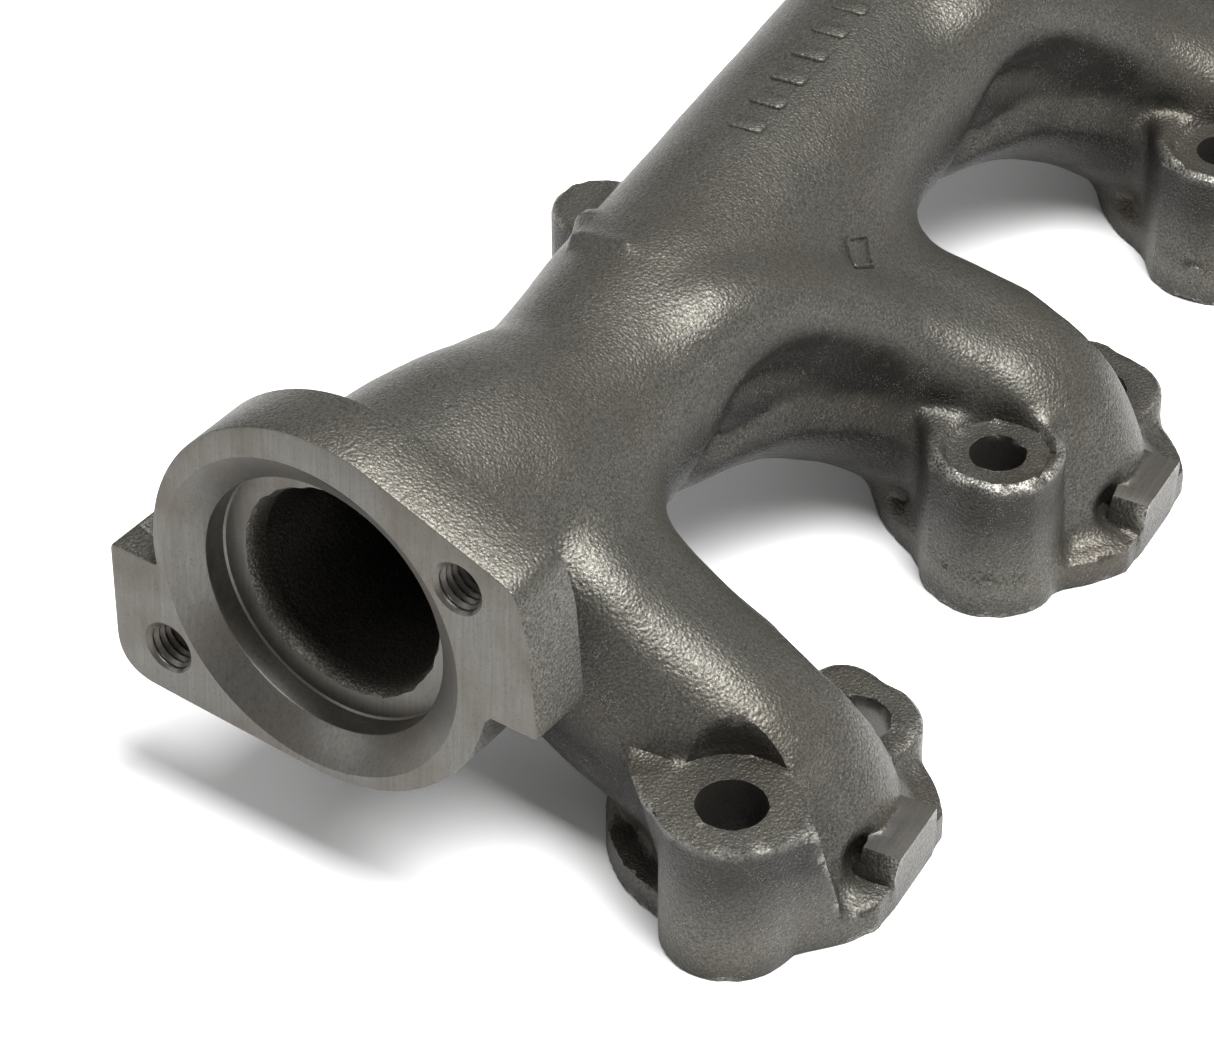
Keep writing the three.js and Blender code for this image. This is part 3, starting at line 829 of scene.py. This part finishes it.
def cast_iron(finish):
    """Sand-cast iron: dark warm grey, grainy, brown in the hollows and bright on knocked edges, with painted
    shade in the hollows and on surfaces facing down, and painted glints on the grain.
    """
    material, tree, shader = new_material("cast_iron")
    where = place(tree)
    grain = noise(tree, where, finish.sand_size, 5, 0.62)
    mottle = noise(tree, where, 4.5 * MM, 3, 0.5)
    bloom = noise(tree, where, 26 * MM, 3, 0.55)
    sand = add(tree, "ShaderNodeTexVoronoi", {"Vector": where, "Scale": 1 / (finish.sand_size * 1.15)},
               feature="SMOOTH_F1")
    glint = add(tree, "ShaderNodeTexVoronoi", {"Vector": where, "Scale": 1 / (finish.sand_size * 0.8)})
    hollow = add(tree, "ShaderNodeAttribute", attribute_name="hollow").outputs["Fac"]
    edge = add(tree, "ShaderNodeAttribute", attribute_name="edge").outputs["Fac"]
    under = add(tree, "ShaderNodeAttribute", attribute_name="under").outputs["Fac"]
    tone = mix(tree, ramp(tree, grain, 0.37, 0.64, 0.15, 1.0), finish.iron_dark, finish.iron_light)
    tone = mix(tree, ramp(tree, mottle, 0.3, 0.7, 0.0, 0.25), tone, finish.iron_dark)
    brown = times(tree, ramp(tree, bloom, 0.42, 0.66), ramp(tree, hollow, 0.05, 0.75, 0.18, 0.85))
    tone = mix(tree, brown, tone, finish.iron_brown)
    # Painted shade: hollows and corners close to other iron or the floor are darkened.
    tone = mix(tree, ramp(tree, hollow, 0.2, 0.75, 0.0, 0.9), tone, finish.iron_dark)
    # Painted shade: surfaces facing down or sideways are darkened towards the underside shade colour.
    tone = mix(tree, ramp(tree, under, 0.1, 0.75, 0.0, 0.95), tone, finish.iron_underside_shade)
    # Painted glints: bright specks on some sand cells, painted into the colour where light would glint.
    painted_glint = ramp(tree, glint.outputs["Distance"], 0.24, 0.08)
    tone = mix(tree, times(tree, painted_glint, ramp(tree, mottle, 0.42, 0.6, 0.0, 0.7)), tone, finish.wear_and_glint)
    knocked = times(tree, ramp(tree, edge, 0.86, 1.0, 0.0, 0.4), ramp(tree, grain, 0.42, 0.56))
    tone = mix(tree, knocked, tone, finish.wear_and_glint)
    tree.links.new(tone, shader.inputs["Base Color"])
    # Painted shade: the same surfaces also lose metallic and specular shine, so they read as shaded.
    tree.links.new(ramp(tree, under, 0.1, 0.75, 0.72, 0.1), shader.inputs["Metallic"])
    tree.links.new(ramp(tree, under, 0.1, 0.75, 0.5, 0.12), shader.inputs["Specular IOR Level"])
    tree.links.new(ramp(tree, grain, 0.3, 0.7, 0.52, 0.36), shader.inputs["Roughness"])
    lumps = bump(tree, sand.outputs["Distance"], 1.0, 0.14 * MM)
    pores = bump(tree, grain, 0.6, 0.1 * MM, lumps)
    rolls = bump(tree, mottle, 0.25, 0.3 * MM, pores)
    tree.links.new(rolls, shader.inputs["Normal"])
    return material


def machined_iron(finish, name, streak):
    """Cut iron: mid grey, with fine cutter lines that run along one direction."""
    material, tree, shader = new_material(name)
    where = place(tree)
    lined = place(tree, streak)
    lines = noise(tree, lined, 1.0, 3, 0.6)
    fine = noise(tree, where, 0.5 * MM, 4, 0.6)
    cloud = noise(tree, where, 14 * MM, 3, 0.55)
    share_light = mix_number(tree, ramp(tree, lines, 0.3, 0.7), ramp(tree, cloud, 0.3, 0.7), 0.55)
    tone = mix(tree, share_light, finish.cut_dark, finish.cut_light)
    tone = mix(tree, ramp(tree, cloud, 0.4, 0.68, 0.0, 0.55), tone, finish.iron_brown)
    tone = mix(tree, ramp(tree, fine, 0.56, 0.72, 0.0, 0.5), tone, finish.iron_dark)
    tree.links.new(tone, shader.inputs["Base Color"])
    shader.inputs["Metallic"].default_value = 0.85
    tree.links.new(ramp(tree, cloud, 0.3, 0.7, 0.34, 0.5), shader.inputs["Roughness"])
    scored = bump(tree, lines, 0.5, 0.06 * MM)
    pitted = bump(tree, fine, 0.35, 0.06 * MM, scored)
    tree.links.new(pitted, shader.inputs["Normal"])
    return material


def finish_materials():
    """The three iron finishes, made once."""
    finish = bpy.context.scene.manifold_finish
    if "cast_iron" not in bpy.data.materials or not bpy.data.materials["cast_iron"].get("manifold"):
        made = [
            cast_iron(finish),
            machined_iron(finish, "drilled_iron", (60, 1700, 1700)),
            machined_iron(finish, "faced_iron", (1500, 1500, 45)),
        ]
        names = ["cast_iron", "drilled_iron", "faced_iron"]
        for material in made:
            material["manifold"] = True
        finish_materials.made = dict(zip(names, made))
    return finish_materials.made


def bridge(faces, first, second):
    """Quads between two rings of the same number of vertices."""
    count = len(first)
    for i in range(count):
        j = (i + 1) % count
        faces.append((first[i], first[j], second[j], second[i]))


class Shell:
    """Vertices and faces gathered on the outlet's own right, up and inward directions."""

    def __init__(self, axes):
        self.centre, self.right, self.up, self.inward = axes
        self.vertices = []
        self.faces = []

    def ring(self, flat, depth):
        """Adds a ring of vertices at a depth, or at a depth of its own for each vertex."""
        start = len(self.vertices)
        depths = np.broadcast_to(depth, len(flat))
        for (u, v), w in zip(flat, depths):
            self.vertices.append(self.centre + self.right * u + self.up * v + self.inward * w)
        return list(range(start, len(self.vertices)))

    def bridge(self, first, second):
        bridge(self.faces, first, second)


def circle(u, v, radius, count):
    """A ring of points; the radius may differ from point to point."""
    turns = np.linspace(0, 2 * math.pi, count, endpoint=False)
    radii = np.broadcast_to(radius, count)
    return [(u + r * math.cos(t), v + r * math.sin(t)) for t, r in zip(turns, radii)]


def inset(outline, amount):
    """The outline moved inwards by a small amount."""
    points = np.array(outline)
    along = np.roll(points, -1, axis=0) - np.roll(points, 1, axis=0)
    along /= np.linalg.norm(along, axis=1)[:, None]
    inward = np.stack([-along[:, 1], along[:, 0]], axis=1)
    return points + inward * amount


def even_outline(outline, spacing):
    """The same outline with its long straight edges divided."""
    points = []
    for a, b in zip(outline, outline[1:] + outline[:1]):
        gap = math.dist(a, b)
        if gap < 1e-3:
            continue
        steps = max(1, round(gap / spacing))
        for step in range(steps):
            t = step / steps
            points.append((a[0] + (b[0] - a[0]) * t, a[1] + (b[1] - a[1]) * t))
    return points


def face_between(shell, outer, holes):
    """Fills a flat face that has holes in it."""
    work = bmesh.new()
    edges = []
    index = {}
    for loop in [outer, *holes]:
        made = []
        for number in loop:
            vertex = work.verts.new(shell.vertices[number])
            index[vertex] = number
            made.append(vertex)
        edges += [work.edges.new((a, b)) for a, b in zip(made, made[1:] + made[:1])]
    filled = bmesh.ops.triangle_fill(work, edges=edges, use_beauty=True, normal=shell.inward)
    faces = [item for item in filled["geom"] if isinstance(item, bmesh.types.BMFace)]
    if not faces:
        raise RuntimeError("the outlet face could not be filled")
    shell.faces += [tuple(index[vertex] for vertex in face.verts) for face in faces]
    work.free()


def threaded_wall(shell, outlet, u, v):
    """The wall of one stud hole, with its countersink and thread; returns its front and back rings."""
    count = 40
    minor = outlet.thread_minor / MM
    depth = outlet.thread_depth / MM
    pitch = outlet.thread_pitch / MM
    thickness = outlet.thickness / MM
    turns = np.linspace(0, 1, count, endpoint=False)
    front = shell.ring(circle(u, v, minor + depth + 0.55, count), 0)
    last = shell.ring(circle(u, v, minor + depth, count), 0.5)
    shell.bridge(front, last)
    steps = int(thickness * 6.5)
    for w in np.linspace(0.75, thickness - 0.4, steps):
        phase = (w / pitch + turns) % 1
        height = np.abs(phase * 2 - 1)
        fade = min(1.0, (w - 0.5) / 0.8)
        radius = minor + depth * (1 - fade * np.clip(height * 1.25 - 0.1, 0, 1))
        row = shell.ring(circle(u, v, radius, count), w)
        shell.bridge(last, row)
        last = row
    back = shell.ring(circle(u, v, minor + depth + 0.3, count), thickness)
    shell.bridge(last, back)
    return front, back


def seat_wall(shell, outlet):
    """Conical seat, step, land and the ragged cast edge behind it; returns front and back rings."""
    count = 144
    seat = outlet.seat_radius / MM
    depth = outlet.seat_depth / MM
    step = outlet.counterbore / MM
    land = outlet.counterbore_depth / MM
    bore = outlet.bore / MM
    turns = np.linspace(0, 2 * math.pi, count, endpoint=False)
    ragged = 0.2 * np.sin(turns * 5 + 1) + 0.12 * np.sin(turns * 17 + 2) + 0.1 * np.sin(turns * 31)
    rows = [
        (seat + 0.25, 0), (seat, 0.2), (step + 0.15, depth), (step, depth + 0.3),
        (step, land - 0.35), (step - 0.35, land), (bore + 0.7 + ragged, land),
        (bore + 0.1 + ragged * 0.7, land + 0.8), (bore - 0.35 + ragged * 0.25, land + 2.4),
        (bore - 0.35, outlet.thickness / MM),
    ]
    rings = [shell.ring(circle(0, 0, radius, count), w) for radius, w in rows]
    for first, second in zip(rings, rings[1:]):
        shell.bridge(first, second)
    return rings[0], rings[-1]


def close_outwards(piece):
    """Welds the mesh and turns every face outwards."""
    work = bmesh.new()
    work.from_mesh(piece.data)
    bmesh.ops.remove_doubles(work, verts=work.verts, dist=1e-7)
    bmesh.ops.recalc_face_normals(work, faces=work.faces)
    open_edges = [edge for edge in work.edges if len(edge.link_faces) != 2]
    work.to_mesh(piece.data)
    work.free()
    if open_edges:
        raise RuntimeError(f"{piece.name} has {len(open_edges)} open edges")


def bent_bar(width, reach, rise, radius, sunk=0.8):
    """Vertices and faces of one raised bar that follows the round of the log."""
    edge = 0.35
    levels = [(0.0, -sunk), (0.0, rise - edge), (edge * 0.35, rise - edge * 0.3), (edge, rise)]
    corner = min(width, reach) * 0.3
    vertices = []
    rings = []
    for shrink, height in levels:
        ring = []
        for sx, sy, start in ((1, 1, 0), (-1, 1, 90), (-1, -1, 180), (1, -1, 270)):
            middle = (sx * (width / 2 - corner), sy * (reach / 2 - corner))
            for x, y in arc(middle, corner - shrink, start, start + 90, 5):
                ring.append(len(vertices))
                tilt = y / radius
                vertices.append((x, (radius + height) * math.sin(tilt), (radius + height) * math.cos(tilt)))
        rings.append(ring)
    faces = [tuple(reversed(rings[0]))]
    for first, second in zip(rings, rings[1:]):
        bridge(faces, first, second)
    faces.append(tuple(rings[-1]))
    return np.array(vertices), faces


def lozenge_plate(iron, middle, normal, half_length, rise, sunk=0.8):
    """Vertices and faces of a plain raised lozenge that follows the casting's skin."""
    normal = np.array(normal) / np.linalg.norm(normal)
    across = np.cross(normal, (0.0, 0.0, 1.0))
    across /= np.linalg.norm(across)
    up = np.cross(across, normal)
    corners = [(half_length, 0), (0, half_length * 0.62), (-half_length, 0), (0, -half_length * 0.62)]
    flat = []
    for before, corner, after in zip(corners[-1:] + corners[:-1], corners, corners[1:] + corners[:1]):
        flat += rounded(before, corner, after, half_length * 0.12, 5)
    flat = np.array(even_outline(flat, 1.0))
    levels = [(1.0, -sunk), (1.0, rise - 0.3), (0.96, rise), (0.8, rise), (0.74, 0.1), (0.4, 0.1)]
    vertices = []
    faces = []
    rings = []
    for scale, height in levels:
        points = np.array(middle) + np.outer(flat[:, 0] * scale, across) + np.outer(flat[:, 1] * scale, up)
        points += normal * half_length
        for _ in range(16):
            points -= normal * iron.skin(points)[:, None]
        rings.append(list(range(len(vertices), len(vertices) + len(points))))
        vertices += [tuple(point) for point in points + normal * height]
    for first, second in zip(rings, rings[1:]):
        bridge(faces, first, second)
    faces += [tuple(reversed(rings[0])), tuple(rings[-1])]
    return vertices, faces


# Corners of the box that the casting's mesh is drawn in, in millimetres.
GRID_LOW = (-30.0, -30.0, -4.0)
GRID_HIGH = (405.0, 118.0, 92.0)


class MANIFOLD_OT_casting(bpy.types.Operator):
    """Builds the cast body: log, runners, pads, bosses, ears and lugs in one skin"""
    bl_idname = "manifold.casting"
    bl_label = "Casting"

    def execute(self, context):
        scene = context.scene
        iron = Iron(scene.manifold_casting, scene.manifold_outlet)
        cell = iron.size["cell"] * 1.0
        low = np.array(GRID_LOW)
        high = np.array(GRID_HIGH)
        vertices, faces = sharp_surface(iron.distance, low, high, cell)
        finishes = finish_materials()
        piece = mesh_object("casting", metres(vertices), faces.tolist(),
                            [finishes["cast_iron"], finishes["drilled_iron"]])
        corners = vertices[faces]
        centres = corners.mean(1)
        normals = np.cross(corners[:, 2] - corners[:, 0], corners[:, 3] - corners[:, 1])
        normals /= np.maximum(np.linalg.norm(normals, axis=1), 1e-9)[:, None]
        machined = cut_faces(iron, centres, normals)
        if len(piece.data.polygons) == len(machined):
            piece.data.polygons.foreach_set("material_index", machined.astype(int))
        store_wear_and_shade(piece, iron, vertices)
        shade(piece, 42)
        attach(piece, "root")
        ports = [f"{kind}_{port + 1}" for kind in PORT_NODES for port in range(PORTS)]
        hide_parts("outlet_neck", "back_boss", *LOG_NODES, *ports)
        return {"FINISHED"}


class MANIFOLD_OT_outlet_flange(bpy.types.Operator):
    """Builds the machined outlet flange with its seat and threaded stud holes"""
    bl_idname = "manifold.outlet_flange"
    bl_label = "Outlet Flange"

    def execute(self, context):
        outlet = context.scene.manifold_outlet
        shell = Shell(outlet_axes(outlet))
        outline = even_outline(flange_outline(outlet), 1.6)
        thickness = outlet.thickness / MM
        front_edge = [(0.55, 0), (0.15, 0.12), (0, 0.5)]
        profile = front_edge + [(0, thickness - 0.7), (0.2, thickness - 0.2), (0.7, thickness)]
        rings = [shell.ring(inset(outline, amount), depth) for amount, depth in profile]
        for first, second in zip(rings, rings[1:]):
            shell.bridge(first, second)
        fronts = []
        backs = []
        stud = Vector((math.cos(outlet.stud_angle), math.sin(outlet.stud_angle))) * (outlet.stud_circle / MM)
        for front, back in (seat_wall(shell, outlet), threaded_wall(shell, outlet, stud.x, stud.y),
                            threaded_wall(shell, outlet, -stud.x, -stud.y)):
            fronts.append(front)
            backs.append(back)
        face_between(shell, rings[0], fronts)
        face_between(shell, rings[-1], backs)
        finishes = finish_materials()
        piece = mesh_object("outlet_flange_face", metres(shell.vertices), shell.faces,
                            [finishes["faced_iron"], finishes["cast_iron"]])
        close_outwards(piece)
        self.leave_as_cast(piece, outlet, shell)
        shade(piece, 30)
        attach(piece, "root")
        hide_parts("outlet_flange")
        return {"FINISHED"}

    def leave_as_cast(self, piece, outlet, shell):
        """Gives the rough bore behind the land and the flange's rim and back the cast finish."""
        stud = np.array([math.cos(outlet.stud_angle), math.sin(outlet.stud_angle)]) * outlet.stud_circle
        for face in piece.data.polygons:
            offset = (np.array(face.center) - ORIGIN) - shell.centre * MM
            depth = offset @ shell.inward
            flat = np.array([offset @ shell.right, offset @ shell.up])
            radius = math.hypot(*flat)
            rough_bore = radius < outlet.bore + 1.2 * MM and depth > outlet.counterbore_depth + 0.1 * MM
            from_stud = min(math.dist(flat, stud), math.dist(flat, -stud))
            rim = depth > 0.3 * MM and radius > outlet.seat_radius + MM and from_stud > 7 * MM
            if rough_bore or rim:
                face.material_index = 1


class MANIFOLD_OT_cast_marks(bpy.types.Operator):
    """Builds the plain raised marks of the casting"""
    bl_idname = "manifold.cast_marks"
    bl_label = "Cast Marks"

    def execute(self, context):
        scene = context.scene
        marks = scene.manifold_marks
        casting = scene.manifold_casting
        radius = casting.log_radius / MM
        bar, faces = bent_bar(marks.width / MM, marks.reach / MM, marks.rise / MM, radius)
        vertices = []
        everything = []
        for number in range(marks.count):
            start = len(vertices)
            x = PORT_PITCH / MM + BOLT_PITCH / MM / 4 + marks.width / MM / 2 + number * marks.pitch / MM
            centre = np.array([x, casting.log_y / MM, casting.log_z / MM])
            vertices += [tuple(point) for point in bar + centre]
            everything += [tuple(index + start for index in face) for face in faces]
        iron = Iron(casting, scene.manifold_outlet)
        start = len(vertices)
        plate, faces = lozenge_plate(iron, LOZENGE_AT, LOZENGE_FACING, marks.lozenge / MM, marks.rise / MM)
        vertices += plate
        everything += [tuple(index + start for index in face) for face in faces]
        piece = mesh_object("cast_marks", metres(vertices), everything, [finish_materials()["cast_iron"]])
        close_outwards(piece)
        shade(piece, 40)
        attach(piece, "root")
        return {"FINISHED"}


def soft_box(name, place_at, aim, width, power):
    """A square soft box aimed at a point."""
    light = bpy.data.lights.new(name, "AREA")
    light.shape = "SQUARE"
    light.size = width
    light.energy = power
    lamp = bpy.data.objects.new(name, light)
    bpy.context.scene.collection.objects.link(lamp)
    lamp.location = place_at
    lamp.rotation_euler = (Vector(aim) - Vector(place_at)).to_track_quat("-Z", "Y").to_euler()


def floor_material(tone):
    """Pale matt floor with the faintest unevenness."""
    material, tree, shader = new_material("floor")
    cloud = noise(tree, place(tree), 0.3, 2, 0.5)
    darker = tuple(channel * 0.985 for channel in tone)
    tree.links.new(mix(tree, cloud, tone, darker), shader.inputs["Base Color"])
    shader.inputs["Roughness"].default_value = 0.9
    return material


# Places of the two soft boxes from the point the camera looks at, and their widths, in metres.
KEY_FROM = (-0.04, -0.38, 1.15)
KEY_WIDTH = 0.8
RIM_FROM = (-0.7, 1.0, 0.8)
RIM_WIDTH = 0.8
LOOK_AT = (91.05, 71.55, 0)


class MANIFOLD_OT_stage(bpy.types.Operator):
    """Lays the pale floor, hangs the studio lights and sets the camera"""
    bl_idname = "manifold.stage"
    bl_label = "Stage"

    def execute(self, context):
        scene = context.scene
        stage = scene.manifold_stage
        target = Vector(metres(LOOK_AT))
        half = stage.floor_size / 2
        corners = np.array([(-half, -half, 0), (half, -half, 0), (half, half, 0), (-half, half, 0)], float)
        corners[:, 2] = -0.2 * MM
        floor = mesh_object("floor", corners, [(0, 1, 2, 3)], [floor_material(tuple(stage.floor_tone))])
        self.light(scene, stage, target)
        self.camera(scene, stage, target)
        scene.view_settings.view_transform = "Standard"
        return {"FINISHED"}

    def light(self, scene, stage, target):
        world = bpy.data.worlds.new("studio")
        world.use_nodes = True
        sky = world.node_tree.nodes["Background"]
        sky.inputs["Color"].default_value = (1, 1, 1, 1)
        sky.inputs["Strength"].default_value = stage.sky
        scene.world = world
        soft_box("key_light", target + Vector(KEY_FROM), target, KEY_WIDTH, stage.key)
        soft_box("rim_light", target + Vector(RIM_FROM), target, RIM_WIDTH, stage.rim)

    def camera(self, scene, stage, target):
        a = stage.azimuth
        e = stage.elevation
        back = Vector((math.sin(a) * math.cos(e), -math.cos(a) * math.cos(e), math.sin(e)))
        data = bpy.data.cameras.new("camera")
        data.lens = stage.lens
        data.sensor_width = 36
        data.clip_end = 20
        camera = bpy.data.objects.new("camera", data)
        scene.collection.objects.link(camera)
        camera.location = target + back * stage.distance
        level = back.to_track_quat("Z", "Y").to_matrix()
        camera.rotation_euler = (level @ Matrix.Rotation(stage.roll, 3, "Z")).to_euler()
        scene.camera = camera


class MANIFOLD_PT_panel(bpy.types.Panel):
    """Lists the steps that build the manifold"""
    bl_label = "Exhaust Manifold"
    bl_idname = "MANIFOLD_PT_panel"
    bl_space_type = "VIEW_3D"
    bl_region_type = "UI"
    bl_category = "Manifold"

    def draw(self, context):
        for operator in OPERATORS:
            self.layout.operator(operator.bl_idname)
        for name in GROUPS:
            group = getattr(context.scene, name)
            box = self.layout.box()
            for field in group.__annotations__:
                box.prop(group, field)


OPERATORS = [MANIFOLD_OT_casting, MANIFOLD_OT_outlet_flange, MANIFOLD_OT_cast_marks, MANIFOLD_OT_stage]
GROUPS = {
    "manifold_casting": ManifoldCasting,
    "manifold_outlet": ManifoldOutlet,
    "manifold_marks": ManifoldMarks,
    "manifold_finish": ManifoldFinish,
    "manifold_stage": ManifoldStage,
}


def register():
    for kind in [*GROUPS.values(), *OPERATORS, MANIFOLD_PT_panel]:
        bpy.utils.register_class(kind)
    for name, group in GROUPS.items():
        setattr(bpy.types.Scene, name, PointerProperty(type=group))


def unregister():
    for name in GROUPS:
        delattr(bpy.types.Scene, name)
    for kind in reversed([*GROUPS.values(), *OPERATORS, MANIFOLD_PT_panel]):
        bpy.utils.unregister_class(kind)


def main():
    """Builds everything."""
    register()
    bpy.ops.manifold.casting()
    bpy.ops.manifold.outlet_flange()
    bpy.ops.manifold.cast_marks()
    bpy.ops.manifold.stage()


if __name__ == "__main__":
    main()
